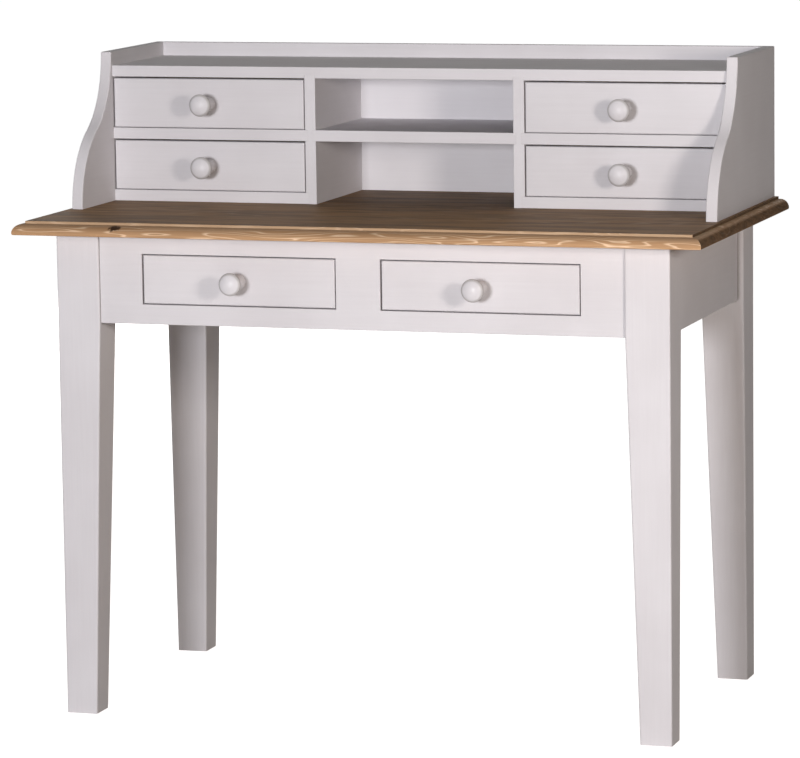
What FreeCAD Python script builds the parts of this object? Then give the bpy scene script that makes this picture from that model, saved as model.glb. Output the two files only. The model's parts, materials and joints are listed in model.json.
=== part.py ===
import FreeCAD, Part
import math
import operator
import os
import types

import Sketcher

# Painted writing desk with a stained moulded top and a drawer hutch.
# Frame: +X to the right, -Y to the front, +Z up, origin on the floor under the middle.

# Driving sizes in millimetres
SIZES = {
    # desktop and its moulded edge
    "desk_width": 1100,
    "desk_depth": 592,
    "top_height": 783,
    "top_thickness": 21,
    "edge_run": 17,
    "edge_step": 4,
    "edge_ledge": 3,
    "edge_lip": 3,
    # legs
    "leg_inset_side": 58,
    "leg_inset_front": 41,
    "leg_inset_back": 2,
    "leg_width": 70,
    "foot_width": 50,
    "leg_corner_radius": 3,
    # aprons and their tenons
    "apron_height": 140,
    "apron_thickness": 22,
    "apron_setback": 6.5,
    "apron_side_setback": 10.5,
    "apron_edge_radius": 1.5,
    "tenon_length": 28,
    "tenon_thickness": 9,
    "tenon_shoulder": 15,
    "joint_clearance": 0.1,
    # drawer windows in the front apron
    "window_height": 79,
    "window_sill": 31,
    "window_spacing": 71,
    "window_margin": 69.5,
    # runners, kickers and corner blocks under the desktop
    "runner_shelf": 18,
    "runner_wall": 14,
    "runner_thickness": 16,
    "runner_guide_height": 28,
    "kicker_width": 24,
    "kicker_gap": 2,
    "kicker_screw_gap": 4,
    "block_reach": 45,
    "block_height": 40,
    # hutch carcass
    "hutch_inset_side": 23,
    "hutch_inset_back": 3,
    "hutch_depth": 254,
    "hutch_curve_run": 138,
    "hutch_board_setback": 5,
    "hutch_board": 18,
    "hutch_side_thickness": 18,
    "divider_thickness": 18,
    "nook_width": 328,
    "hutch_opening_height": 82.5,
    "hutch_upstand": 22,
    "hutch_edge_radius": 2,
    "board_edge_radius": 1,
    "housing_depth": 5,
    "back_panel_thickness": 15,
    "back_rebate": 10,
    # drawers
    "drawer_front_thickness": 18,
    "drawer_front_setback": 0.5,
    "drawer_front_radius": 2.5,
    "drawer_side_thickness": 10,
    "drawer_side_drop": 9,
    "drawer_back_thickness": 10,
    "drawer_back_inset": 6,
    "drawer_back_drop": 4,
    "drawer_bottom_thickness": 5,
    "groove_height": 8,
    "groove_depth": 5,
    "tail_length": 12,
    "tail_width": 15,
    "tail_flare": 2,
    "running_clearance": 0.3,
    "table_drawer_back_gap": 69.5,
    "table_gap_side": 2,
    "table_gap_top": 2,
    "table_gap_bottom": 1.5,
    "hutch_drawer_back_gap": 2.5,
    "hutch_gap_side": 1.7,
    "hutch_gap_top": 2.5,
    "hutch_gap_bottom": 0.8,
    # turned knobs
    "knob_head_radius": 18.3,
    "knob_edge_radius": 3,
    "knob_rim_radius": 17,
    "knob_neck_radius": 8.5,
    "knob_base_radius": 11.5,
    "knob_base_height": 2.5,
    "knob_rim_height": 35.8,
    "knob_head_height": 40,
    "knob_height": 47.6,
    "knob_tenon_radius": 6,
    # screws
    "screw_radius": 2.25,
    "screw_head_radius": 4.5,
    "screw_head_height": 2.2,
    "screw_bite": 24,
}

TAILS_PER_CORNER = 3
SCREW_DEPTH_RATIOS = (0.25, 0.75)
TOP_BOARD_SCREW_RATIOS = (0.4, 1.2)
OPERATIONS = {"+": operator.add, "-": operator.sub, "*": operator.mul, "/": operator.truediv}

doc = FreeCAD.newDocument("writing_desk")
sheet = doc.addObject("Spreadsheet::Sheet", "sizes")
for row, (name, value) in enumerate(SIZES.items(), start=1):
    sheet.set(f"A{row}", name)
    sheet.set(f"B{row}", str(value))
    sheet.setAlias(f"B{row}", name)
doc.recompute()


class Size:
    """A length together with the sheet formula that drives it."""

    def __init__(self, number, formula):
        self.number = number
        self.formula = formula

    def __add__(self, other):
        return combined(self, "+", other)

    def __radd__(self, other):
        return combined(other, "+", self)

    def __sub__(self, other):
        return combined(self, "-", other)

    def __rsub__(self, other):
        return combined(other, "-", self)

    def __mul__(self, other):
        return combined(self, "*", other)

    def __rmul__(self, other):
        return combined(other, "*", self)

    def __truediv__(self, other):
        return combined(self, "/", other)

    def __neg__(self):
        return combined(0, "-", self)


def as_size(value):
    return value if isinstance(value, Size) else Size(value, str(value))


def combined(left, sign, right):
    left = as_size(left)
    right = as_size(right)
    number = OPERATIONS[sign](left.number, right.number)
    return Size(number, f"({left.formula} {sign} {right.formula})")


size = types.SimpleNamespace(
    **{name: Size(float(sheet.get(name)), f"sizes.{name}") for name in SIZES}
)

# Levels and faces that several pieces share
half_width = size.desk_width / 2
half_depth = size.desk_depth / 2
top_under = size.top_height - size.top_thickness
leg_outer_x = half_width - size.leg_inset_side
leg_inner_x = leg_outer_x - size.leg_width
leg_front_y = size.leg_inset_front - half_depth
leg_back_y = half_depth - size.leg_inset_back
apron_bottom = top_under - size.apron_height
apron_front_y = leg_front_y + size.apron_setback
apron_back_y = leg_back_y - size.apron_setback
apron_side_x = leg_outer_x - size.apron_side_setback
bay_front_y = apron_front_y + size.apron_thickness
bay_back_y = apron_back_y - size.apron_thickness
bay_side_x = apron_side_x - size.apron_thickness
window_bottom = apron_bottom + size.window_sill
window_top = window_bottom + size.window_height
window_inner_x = size.window_spacing / 2
window_outer_x = leg_inner_x - size.window_margin
window_width = window_outer_x - window_inner_x
window_middle_x = (window_inner_x + window_outer_x) / 2
table_drawer_y = apron_front_y + size.drawer_front_setback
table_drawer_length = bay_back_y - table_drawer_y - size.table_drawer_back_gap

hutch_back_y = half_depth - size.hutch_inset_back
hutch_head_y = hutch_back_y - size.hutch_depth
hutch_foot_y = hutch_head_y - size.hutch_curve_run
panel_front_y = hutch_back_y - size.back_panel_thickness
board_front_y = hutch_head_y + size.hutch_board_setback
hutch_outer_x = half_width - size.hutch_inset_side
hutch_inner_x = hutch_outer_x - size.hutch_side_thickness
divider_inner_x = size.nook_width / 2
divider_outer_x = divider_inner_x + size.divider_thickness
hutch_opening_width = hutch_inner_x - divider_outer_x
hutch_opening_x = (hutch_inner_x + divider_outer_x) / 2
hutch_drawer_y = board_front_y + size.drawer_front_setback
hutch_drawer_length = panel_front_y - hutch_drawer_y - size.hutch_drawer_back_gap
base_board_top = size.top_height + size.hutch_board
mid_board_under = base_board_top + size.hutch_opening_height
mid_board_top = mid_board_under + size.hutch_board
top_board_under = mid_board_top + size.hutch_opening_height
top_board_top = top_board_under + size.hutch_board
hutch_top = top_board_top + size.hutch_upstand

nodes = []


def keep(piece):
    """Put a finished piece on the list of files to write."""
    nodes.append(piece)
    return piece


def bind(piece, path, value):
    piece.setExpression(path, as_size(value).formula)


def new_body(label):
    body = doc.addObject("PartDesign::Body", label)
    body.Label = label
    return body


def place(body, x, y, z, rotation=None):
    """Stand a body at a point that the sheet drives."""
    if rotation is not None:
        body.Placement = FreeCAD.Placement(FreeCAD.Vector(), rotation)
    bind(body, "Placement.Base.x", x)
    bind(body, "Placement.Base.y", y)
    bind(body, "Placement.Base.z", z)


def group(label, pieces):
    """One node that holds several like pieces as separate solids."""
    compound = doc.addObject("Part::Compound", label)
    compound.Label = label
    compound.Links = pieces
    return keep(compound)


def arc_radius(rise, half_chord):
    """Radius of the arc that rises this much over half of its chord."""
    return (rise * rise + half_chord * half_chord) / (2 * rise)


def arc_between(start, end, radius, turn):
    """Arc of under half a circle; turn is 1 counterclockwise and -1 clockwise."""
    chord = end - start
    across = FreeCAD.Vector(-chord.y, chord.x, 0).normalize() * turn
    rise = math.sqrt(max(radius ** 2 - (chord.Length / 2) ** 2, 0))
    centre = start + chord / 2 + across * rise
    first, last = (start, end) if turn > 0 else (end, start)
    angles = [math.atan2(point.y - centre.y, point.x - centre.x) for point in (first, last)]
    return Part.ArcOfCircle(Part.Circle(centre, FreeCAD.Vector(0, 0, 1), radius), *angles)


def hold_point(sketch, part, end, place_u, place_v):
    """Tie a point of a sketch to the sheet, or to an axis where its coordinate is zero."""
    for kind, axis, value in (("DistanceX", -2, place_u), ("DistanceY", -1, place_v)):
        value = as_size(value)
        if abs(value.number) < 1e-9:
            sketch.addConstraint(Sketcher.Constraint("PointOnObject", part, end, axis))
        else:
            row = sketch.addConstraint(Sketcher.Constraint(kind, -1, 1, part, end, value.number))
            bind(sketch, f"Constraints[{row}]", value)


def draw_loop(sketch, corners):
    """Closed outline; a corner (u, v, radius, turn) starts an arc to the next corner."""
    first = sketch.GeometryCount
    ends = []
    for here, there in zip(corners, corners[1:] + corners[:1]):
        start, end = [FreeCAD.Vector(as_size(u).number, as_size(v).number, 0)
                      for u, v in (here[:2], there[:2])]
        if len(here) == 2:
            sketch.addGeometry(Part.LineSegment(start, end), False)
            ends.append((1, 2))
        else:
            turn = here[3]
            sketch.addGeometry(arc_between(start, end, as_size(here[2]).number, turn), False)
            ends.append((1, 2) if turn > 0 else (2, 1))
    for index, corner in enumerate(corners):
        part = first + index
        before = first + (index - 1) % len(corners)
        head = ends[index][0]
        sketch.addConstraint(Sketcher.Constraint("Coincident", before, ends[index - 1][1], part, head))
        hold_point(sketch, part, head, corner[0], corner[1])
        if len(corner) > 2:
            radius = as_size(corner[2])
            row = sketch.addConstraint(Sketcher.Constraint("Radius", part, radius.number))
            bind(sketch, f"Constraints[{row}]", radius)


def draw_circle(sketch, centre_u, centre_v, radius):
    part = sketch.GeometryCount
    radius = as_size(radius)
    centre = FreeCAD.Vector(as_size(centre_u).number, as_size(centre_v).number, 0)
    sketch.addGeometry(Part.Circle(centre, FreeCAD.Vector(0, 0, 1), radius.number), False)
    hold_point(sketch, part, 3, centre_u, centre_v)
    row = sketch.addConstraint(Sketcher.Constraint("Radius", part, radius.number))
    bind(sketch, f"Constraints[{row}]", radius)


def origin_plane(body, role):
    return next(feature for feature in body.Origin.OriginFeatures if feature.Role == role)


def new_sketch(body, plane, loops=(), circles=(), level=0):
    """Sketch on one of the body's own planes, moved along the plane's normal to a level."""
    sketch = body.newObject("Sketcher::SketchObject", f"{body.Name}_sketch")
    sketch.AttachmentSupport = [(origin_plane(body, plane), "")]
    sketch.MapMode = "FlatFace"
    bind(sketch, "AttachmentOffset.Base.z", level)
    for corners in loops:
        draw_loop(sketch, corners)
    for circle in circles:
        draw_circle(sketch, *circle)
    return sketch


def pad(body, sketch, length, along_normal=True):
    feature = body.newObject("PartDesign::Pad", f"{body.Name}_pad")
    feature.Profile = sketch
    feature.Reversed = not along_normal
    bind(feature, "Length", length)
    doc.recompute()
    return feature


def pocket(body, sketch, depth, along_normal=False):
    """Cut into the body and make sure that something was cut."""
    before = body.Shape.Volume
    feature = body.newObject("PartDesign::Pocket", f"{body.Name}_pocket")
    feature.Profile = sketch
    feature.Reversed = along_normal
    bind(feature, "Length", depth)
    doc.recompute()
    if not body.Shape.Volume < before:
        raise RuntimeError(f"{feature.Label} cuts nothing")
    return feature


def revolve(body, sketch):
    feature = body.newObject("PartDesign::Revolution", f"{body.Name}_revolution")
    feature.Profile = sketch
    feature.ReferenceAxis = (sketch, ["V_Axis"])
    return feature


def round_edges(body, radius, wanted):
    """Fillet the edges of the body's last feature for which wanted(edge) holds."""
    base = body.Tip
    names = [f"Edge{number}" for number, edge in enumerate(base.Shape.Edges, start=1) if wanted(edge)]
    feature = body.newObject("PartDesign::Fillet", f"{body.Name}_fillet")
    feature.Base = (base, names)
    bind(feature, "Radius", radius)
    doc.recompute()


def lies_at(axis, value):
    """Test for edges that lie whole in the plane where the axis has this value."""
    number = as_size(value).number
    return lambda edge: all(abs(getattr(vertex, axis) - number) < 1e-4 for vertex in edge.Vertexes)


def rectangle(low_u, low_v, high_u, high_v):
    return [(low_u, low_v), (high_u, low_v), (high_u, high_v), (low_u, high_v)]


def rounded_rectangle(low_u, low_v, high_u, high_v, radius):
    return [
        (low_u + radius, low_v),
        (high_u - radius, low_v, radius, 1),
        (high_u, low_v + radius),
        (high_u, high_v - radius, radius, 1),
        (high_u - radius, high_v),
        (low_u + radius, high_v, radius, 1),
        (low_u, high_v - radius),
        (low_u, low_v + radius, radius, 1),
    ]


def spread(centre, width):
    """Low and high end of a width about its centre."""
    return centre - width / 2, centre + width / 2


def ordered(one, other):
    return (one, other) if as_size(one).number < as_size(other).number else (other, one)


# Where the screws stand: up through the desktop, and in through the back panel
side_screw_x = hutch_outer_x - size.hutch_side_thickness / 2
divider_screw_x = divider_inner_x + size.divider_thickness / 2
side_screws = [(side * side_screw_x, hutch_foot_y + ratio * (hutch_back_y - hutch_foot_y))
               for side in (-1, 1) for ratio in SCREW_DEPTH_RATIOS]
divider_screws = [(side * divider_screw_x, board_front_y + ratio * (hutch_back_y - board_front_y))
                  for side in (-1, 1) for ratio in SCREW_DEPTH_RATIOS]
top_board_screw_xs = [side * ratio * hutch_opening_x for side in (-1, 1) for ratio in TOP_BOARD_SCREW_RATIOS]
top_board_level = top_board_under + size.hutch_board / 2
mid_board_level = mid_board_under + size.hutch_board / 2
base_board_level = size.top_height + size.hutch_board / 2
hole_radius = size.screw_radius + size.joint_clearance
bite_depth = size.screw_bite + size.joint_clearance


def edge_profile(tip, inward):
    """Corners of the moulded edge from the upper face round to the underside."""
    reach = size.edge_run - size.edge_ledge
    drop = size.top_thickness - size.edge_step - size.edge_lip
    radius = arc_radius(drop, reach)
    turn = as_size(inward).number
    return [
        (tip + inward * size.edge_run, size.top_height),
        (tip + inward * size.edge_run, size.top_height - size.edge_step),
        (tip + inward * reach, size.top_height - size.edge_step, radius, turn),
        (tip, top_under + size.edge_lip, size.edge_lip, turn),
        (tip + inward * size.edge_lip, top_under),
    ]


def make_desktop():
    """Section padded along X, then the same moulding cut across both ends."""
    body = new_body("desktop")
    section = edge_profile(-half_depth, 1) + [(half_depth, top_under), (half_depth, size.top_height)]
    pad(body, new_sketch(body, "YZ_Plane", [section], level=-half_width), size.desk_width)
    spare = size.edge_run
    profile = edge_profile(half_width, -1)
    waste = profile + [
        (half_width - size.edge_lip, top_under - spare),
        (half_width + spare, top_under - spare),
        (half_width + spare, size.top_height + spare),
        (half_width - size.edge_run, size.top_height + spare),
    ]
    sketch = new_sketch(body, "XZ_Plane", [waste], level=half_depth + spare)
    end_cut = pocket(body, sketch, size.desk_depth + 2 * spare)
    mirror = body.newObject("PartDesign::Mirrored", "desktop_mirror")
    mirror.Originals = [end_cut]
    mirror.MirrorPlane = (origin_plane(body, "YZ_Plane"), [""])
    body.Tip = mirror
    doc.recompute()
    holes = [(x, y, hole_radius) for x, y in side_screws + divider_screws]
    pocket(body, new_sketch(body, "XY_Plane", circles=holes, level=size.top_height), size.top_thickness)
    keep(body)


def make_leg(label, side, end):
    """Square post whose two inner faces taper to the foot, mortised for two aprons."""
    body = new_body(label)
    corner_x = side * leg_outer_x
    corner_y = leg_front_y if end < 0 else leg_back_y

    def square(width):
        low_x, high_x = ordered(corner_x, corner_x - side * width)
        low_y, high_y = ordered(corner_y, corner_y - end * width)
        return rounded_rectangle(low_x, low_y, high_x, high_y, size.leg_corner_radius)

    foot = new_sketch(body, "XY_Plane", [square(size.foot_width)])
    shoulder = new_sketch(body, "XY_Plane", [square(size.leg_width)], level=apron_bottom)
    taper = body.newObject("PartDesign::AdditiveLoft", f"{label}_taper")
    taper.Profile = foot
    taper.Sections = [shoulder]
    taper.Ruled = True
    doc.recompute()
    post = new_sketch(body, "XY_Plane", [square(size.leg_width)], level=apron_bottom)
    pad(body, post, size.apron_height)

    slot_width = size.tenon_thickness + 2 * size.joint_clearance
    slot_depth = size.tenon_length + size.joint_clearance
    slot_low = apron_bottom + size.tenon_shoulder - size.joint_clearance
    slot_high = top_under - size.tenon_shoulder + size.joint_clearance
    long_apron_y = apron_front_y if end < 0 else apron_back_y
    low, high = spread(long_apron_y - end * size.apron_thickness / 2, slot_width)
    mortise = new_sketch(body, "YZ_Plane", [rectangle(low, slot_low, high, slot_high)],
                         level=side * leg_inner_x)
    pocket(body, mortise, slot_depth, along_normal=side > 0)
    low, high = spread(side * (apron_side_x - size.apron_thickness / 2), slot_width)
    mortise = new_sketch(body, "XZ_Plane", [rectangle(low, slot_low, high, slot_high)],
                         level=end * size.leg_width - corner_y)
    pocket(body, mortise, slot_depth, along_normal=end < 0)
    keep(body)


def make_apron(label, plane, face, inward, start, stop, windows=()):
    """Board between two legs with a tenon at each end; face and inward run along the plane's normal."""
    body = new_body(label)
    board = rectangle(start, apron_bottom, stop, top_under)
    pad(body, new_sketch(body, plane, [board, *windows], level=face), size.apron_thickness, inward > 0)
    round_edges(body, size.apron_edge_radius, lies_at("Z", apron_bottom))
    low = apron_bottom + size.tenon_shoulder
    high = top_under - size.tenon_shoulder
    tenons = [
        rectangle(start - size.tenon_length, low, start, high),
        rectangle(stop, low, stop + size.tenon_length, high),
    ]
    cheek = face + inward * (size.apron_thickness - size.tenon_thickness) / 2
    pad(body, new_sketch(body, plane, tenons, level=cheek), size.tenon_thickness, inward > 0)
    keep(body)


def make_board(label, low, high, edge_radius=None, bottom_slots=(), back_holes=()):
    """Flat board between two corners; its front edges are eased, its underside and back edge cut."""
    body = new_body(label)
    outline = rectangle(low[0], low[1], high[0], high[1])
    pad(body, new_sketch(body, "XY_Plane", [outline], level=low[2]), high[2] - low[2])
    if edge_radius is not None:
        round_edges(body, edge_radius, lambda edge: lies_at("Y", low[1])(edge) and runs_along_x(edge))
    if bottom_slots:
        slots = new_sketch(body, "XY_Plane", bottom_slots, level=low[2])
        pocket(body, slots, size.housing_depth, along_normal=True)
    if back_holes:
        holes = new_sketch(body, "XZ_Plane", circles=back_holes, level=-high[1])
        pocket(body, holes, bite_depth, along_normal=True)
    return body


def runs_along_x(edge):
    return edge.BoundBox.YLength < 1e-4 and edge.BoundBox.ZLength < 1e-4


def make_runner(side, inner):
    """L-section rail from the front apron to the back apron, under one edge of a drawer."""
    body = new_body(f"runner_{'right' if side > 0 else 'left'}_{'inner' if inner else 'outer'}")
    edge = side * (window_inner_x if inner else window_outer_x)
    towards_drawer = side if inner else -side
    shelf = edge + towards_drawer * size.runner_shelf
    wall = edge - towards_drawer * size.runner_wall
    under = window_bottom - size.runner_thickness
    guide_top = window_bottom + size.runner_guide_height
    section = [(shelf, under), (shelf, window_bottom), (edge, window_bottom),
               (edge, guide_top), (wall, guide_top), (wall, under)]
    pad(body, new_sketch(body, "XZ_Plane", [section], level=-bay_front_y), bay_back_y - bay_front_y, False)
    return body


def make_corner_block(side, end):
    """Glue block notched round the inner corner of a leg, up against both aprons."""
    body = new_body(f"block_{'back' if end > 0 else 'front'}_{'right' if side > 0 else 'left'}")
    apron_y = bay_front_y if end < 0 else bay_back_y
    leg_y = (leg_front_y if end < 0 else leg_back_y) - end * (size.leg_width + size.joint_clearance)
    leg_x = leg_inner_x - size.joint_clearance
    outline = [
        (side * leg_x, apron_y),
        (side * leg_x, leg_y),
        (side * bay_side_x, leg_y),
        (side * bay_side_x, leg_y - end * size.block_reach),
        (side * (leg_x - size.block_reach), apron_y),
    ]
    level = top_under - size.block_height
    pad(body, new_sketch(body, "XY_Plane", [outline], level=level), size.block_height)
    return body


def make_hutch_side(label, side):
    """Side with an S-curved front edge of two equal arcs, housed for the boards, rebated for the back."""
    body = new_body(label)
    run = size.hutch_curve_run / 2
    rise = (hutch_top - size.top_height) / 2
    radius = arc_radius(run, rise)
    outline = [
        (hutch_foot_y, size.top_height, radius, -1),
        (hutch_foot_y + run, size.top_height + rise, radius, 1),
        (hutch_head_y, hutch_top),
        (hutch_back_y, hutch_top),
        (hutch_back_y, size.top_height),
    ]
    pad(body, new_sketch(body, "YZ_Plane", [outline], level=side * hutch_inner_x),
        size.hutch_side_thickness, side > 0)
    on_desk = lies_at("Z", size.top_height)
    at_back = lies_at("Y", hutch_back_y)
    round_edges(body, size.hutch_edge_radius, lambda edge: not on_desk(edge) and not at_back(edge))

    levels = ((size.top_height, base_board_top), (mid_board_under, mid_board_top),
              (top_board_under, top_board_top))
    housings = [rectangle(board_front_y, low, panel_front_y, high) for low, high in levels]
    sketch = new_sketch(body, "YZ_Plane", housings, level=side * hutch_inner_x)
    pocket(body, sketch, size.housing_depth, along_normal=side > 0)
    rebate = rectangle(panel_front_y, size.top_height, hutch_back_y, hutch_top)
    sketch = new_sketch(body, "YZ_Plane", [rebate], level=side * hutch_inner_x)
    pocket(body, sketch, size.back_rebate, along_normal=side > 0)
    drill_from_below(body, [screw for screw in side_screws if screw[0].number * side > 0])
    keep(body)


def make_divider(label, side):
    """Upright between the drawers and the nook, housed into the top board and housing the shelves."""
    body = new_body(label)
    low_x, high_x = ordered(side * divider_inner_x, side * divider_outer_x)
    tongue_top = top_board_under + size.housing_depth - size.joint_clearance
    outline = rectangle(board_front_y, size.top_height, panel_front_y, tongue_top)
    pad(body, new_sketch(body, "YZ_Plane", [outline], level=low_x), high_x - low_x)
    front = lies_at("Y", board_front_y)
    round_edges(body, size.board_edge_radius, lambda edge: front(edge) and edge.BoundBox.ZLength > 1)
    mid_slot = rectangle(board_front_y, mid_board_under, panel_front_y, mid_board_top)
    base_slot = rectangle(board_front_y, size.top_height, panel_front_y, base_board_top)
    shelf_face = new_sketch(body, "YZ_Plane", [mid_slot], level=side * divider_inner_x)
    pocket(body, shelf_face, size.housing_depth, along_normal=side > 0)
    drawer_face = new_sketch(body, "YZ_Plane", [mid_slot, base_slot], level=side * divider_outer_x)
    pocket(body, drawer_face, size.housing_depth, along_normal=side < 0)
    drill_from_below(body, [screw for screw in divider_screws if screw[0].number * side > 0])
    keep(body)


def drill_from_below(body, screws):
    holes = [(x, y, hole_radius) for x, y in screws]
    sketch = new_sketch(body, "XY_Plane", circles=holes, level=size.top_height)
    pocket(body, sketch, bite_depth, along_normal=True)


def make_back_panel():
    body = new_body("hutch_back_panel")
    reach = hutch_inner_x + size.back_rebate - size.joint_clearance
    outline = rectangle(-reach, size.top_height, reach, hutch_top)
    sketch = new_sketch(body, "XZ_Plane", [outline], level=-hutch_back_y)
    pad(body, sketch, size.back_panel_thickness)
    holes = [(x, z, hole_radius) for x, z in back_screws]
    sketch = new_sketch(body, "XZ_Plane", circles=holes, level=-panel_front_y)
    pocket(body, sketch, size.back_panel_thickness)
    keep(body)


def make_screw(label, grip):
    """Pan-head screw along +Z with the underside of its head at zero."""
    body = new_body(label)
    outline = [
        (0, -size.screw_head_height),
        (size.screw_head_radius, -size.screw_head_height),
        (size.screw_head_radius, 0),
        (size.screw_radius, 0),
        (size.screw_radius, grip + size.screw_bite),
        (0, grip + size.screw_bite),
    ]
    revolve(body, new_sketch(body, "XZ_Plane", [outline]))
    return body


def tail_levels(side_height):
    """Middle heights of the dovetails, evenly spread over a drawer side."""
    pitch = side_height / TAILS_PER_CORNER
    return [pitch * (step + 0.5) for step in range(TAILS_PER_CORNER)]


def tail_outline(level, root_y, clearance):
    """One dovetail from root to tip and back; it widens towards its tip."""
    tip_y = root_y - size.tail_length - clearance
    tip_half = size.tail_width / 2 + clearance
    root_half = tip_half - size.tail_flare
    return [(root_y, level - root_half), (tip_y, level - tip_half),
            (tip_y, level + tip_half), (root_y, level + root_half)]


def make_drawer(label, opening, gaps, length, middle_x, front_y, floor_z):
    """Dovetailed box in its own frame: y from the front face inwards, z from the side's lower edge."""
    opening_width, opening_height = opening
    gap_side, gap_top, gap_bottom = gaps
    half_front = opening_width / 2 - gap_side
    front_low = gap_bottom - size.running_clearance
    front_high = opening_height - gap_top - size.running_clearance
    side_height = front_high - size.drawer_side_drop
    side_inner = half_front - size.drawer_side_thickness
    root_y = size.drawer_front_thickness
    levels = tail_levels(side_height)
    groove_top = size.groove_height + size.drawer_bottom_thickness + 2 * size.joint_clearance
    back_high_y = length - size.drawer_back_inset
    back_low_y = back_high_y - size.drawer_back_thickness
    slot_low_y = back_low_y - size.joint_clearance
    slot_high_y = back_high_y + size.joint_clearance
    knob_level = (front_low + front_high) / 2

    def finish(body):
        place(body, middle_x, front_y, floor_z)
        keep(body)

    def make_front():
        body = new_body(f"{label}_front")
        outline = rectangle(-half_front, front_low, half_front, front_high)
        pad(body, new_sketch(body, "XZ_Plane", [outline]), size.drawer_front_thickness, False)
        round_edges(body, size.drawer_front_radius, lies_at("Y", 0))
        sockets = [tail_outline(level, root_y, size.joint_clearance) for level in levels]
        socket_depth = size.drawer_side_thickness + size.joint_clearance
        for side in (-1, 1):
            sketch = new_sketch(body, "YZ_Plane", sockets, level=side * half_front)
            pocket(body, sketch, socket_depth, along_normal=side < 0)
        groove = rectangle(-side_inner, size.groove_height, side_inner, groove_top)
        sketch = new_sketch(body, "XZ_Plane", [groove], level=-root_y)
        pocket(body, sketch, size.groove_depth, along_normal=True)
        hole = (0, knob_level, size.knob_tenon_radius + size.joint_clearance)
        pocket(body, new_sketch(body, "XZ_Plane", circles=[hole]), size.drawer_front_thickness)
        finish(body)

    def make_side(name, side):
        body = new_body(f"{label}_{name}")
        outline = [(length, 0), (length, side_height), (root_y, side_height)]
        for level in reversed(levels):
            outline += reversed(tail_outline(level, root_y, 0))
        outline.append((root_y, 0))
        sketch = new_sketch(body, "YZ_Plane", [outline], level=side * side_inner)
        pad(body, sketch, size.drawer_side_thickness, side > 0)
        groove = rectangle(root_y - size.tail_length, size.groove_height, length, groove_top)
        sketch = new_sketch(body, "YZ_Plane", [groove], level=side * side_inner)
        pocket(body, sketch, size.groove_depth, along_normal=side > 0)
        slot = rectangle(slot_low_y, groove_top, slot_high_y, side_height)
        sketch = new_sketch(body, "YZ_Plane", [slot], level=side * side_inner)
        pocket(body, sketch, size.groove_depth, along_normal=side > 0)
        finish(body)

    def make_inner_panels():
        reach = side_inner + size.groove_depth - size.joint_clearance
        back = make_board(f"{label}_back", (-reach, back_low_y, groove_top),
                          (reach, back_high_y, side_height - size.drawer_back_drop))
        finish(back)
        panel_low = size.groove_height + size.joint_clearance
        panel_front = root_y - size.groove_depth + size.joint_clearance
        bottom = make_board(f"{label}_bottom", (-reach, panel_front, panel_low),
                            (reach, back_high_y, panel_low + size.drawer_bottom_thickness))
        finish(bottom)

    make_front()
    make_side("side_left", -1)
    make_side("side_right", 1)
    make_inner_panels()
    knob = make_knob(f"{label}_knob")
    place(knob, middle_x, front_y, floor_z + knob_level)
    keep(knob)


def make_knob(label):
    """Turned knob on the -Y side of its drawer front: dome, rolled edge, hollow neck, foot and tenon."""
    body = new_body(label)
    dome = arc_radius(size.knob_height - size.knob_head_height, size.knob_head_radius)
    waist_depth = (size.knob_rim_radius + size.knob_base_radius) / 2 - size.knob_neck_radius
    waist = arc_radius(waist_depth, (size.knob_rim_height - size.knob_base_height) / 2)
    outline = [
        (0, size.drawer_front_thickness),
        (0, -size.knob_height, dome, 1),
        (size.knob_head_radius, -size.knob_head_height),
        (size.knob_rim_radius, -size.knob_rim_height, waist, -1),
        (size.knob_base_radius, -size.knob_base_height),
        (size.knob_base_radius, 0),
        (size.knob_tenon_radius, 0),
        (size.knob_tenon_radius, size.drawer_front_thickness),
    ]
    revolve(body, new_sketch(body, "XY_Plane", [outline]))
    doc.recompute()
    round_edges(body, size.knob_edge_radius, lies_at("Y", -size.knob_head_height))
    return body


# Table
make_desktop()
make_leg("leg_front_left", -1, -1)
make_leg("leg_front_right", 1, -1)
make_leg("leg_back_left", -1, 1)
make_leg("leg_back_right", 1, 1)
windows = [
    rectangle(-window_outer_x, window_bottom, -window_inner_x, window_top),
    rectangle(window_inner_x, window_bottom, window_outer_x, window_top),
]
leg_inner_front_y = leg_front_y + size.leg_width
leg_inner_back_y = leg_back_y - size.leg_width
make_apron("apron_front", "XZ_Plane", -apron_front_y, -1, -leg_inner_x, leg_inner_x, windows)
make_apron("apron_back", "XZ_Plane", -apron_back_y, 1, -leg_inner_x, leg_inner_x)
make_apron("apron_left", "YZ_Plane", -apron_side_x, 1, leg_inner_front_y, leg_inner_back_y)
make_apron("apron_right", "YZ_Plane", apron_side_x, -1, leg_inner_front_y, leg_inner_back_y)
group("corner_blocks", [make_corner_block(side, end) for side in (-1, 1) for end in (-1, 1)])
group("table_drawer_runners", [make_runner(side, inner) for side in (-1, 1) for inner in (True, False)])

# Table drawers and the kickers above them
table_gaps = (size.table_gap_side, size.table_gap_top, size.table_gap_bottom)
table_opening = (window_width, size.window_height)
kickers = []
for side, name in ((-1, "left"), (1, "right")):
    make_drawer(f"table_drawer_{name}", table_opening, table_gaps, table_drawer_length,
                side * window_middle_x, table_drawer_y, window_bottom + size.running_clearance)
    kicker_inner_x = divider_screw_x + size.screw_head_radius + size.kicker_screw_gap
    low_x, high_x = ordered(side * kicker_inner_x, side * (kicker_inner_x + size.kicker_width))
    kicker_under = window_top - size.table_gap_top - size.drawer_side_drop + size.kicker_gap
    kickers.append(make_board(f"kicker_{name}", (low_x, bay_front_y, kicker_under),
                              (high_x, bay_back_y, top_under)))
group("table_drawer_kickers", kickers)

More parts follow.
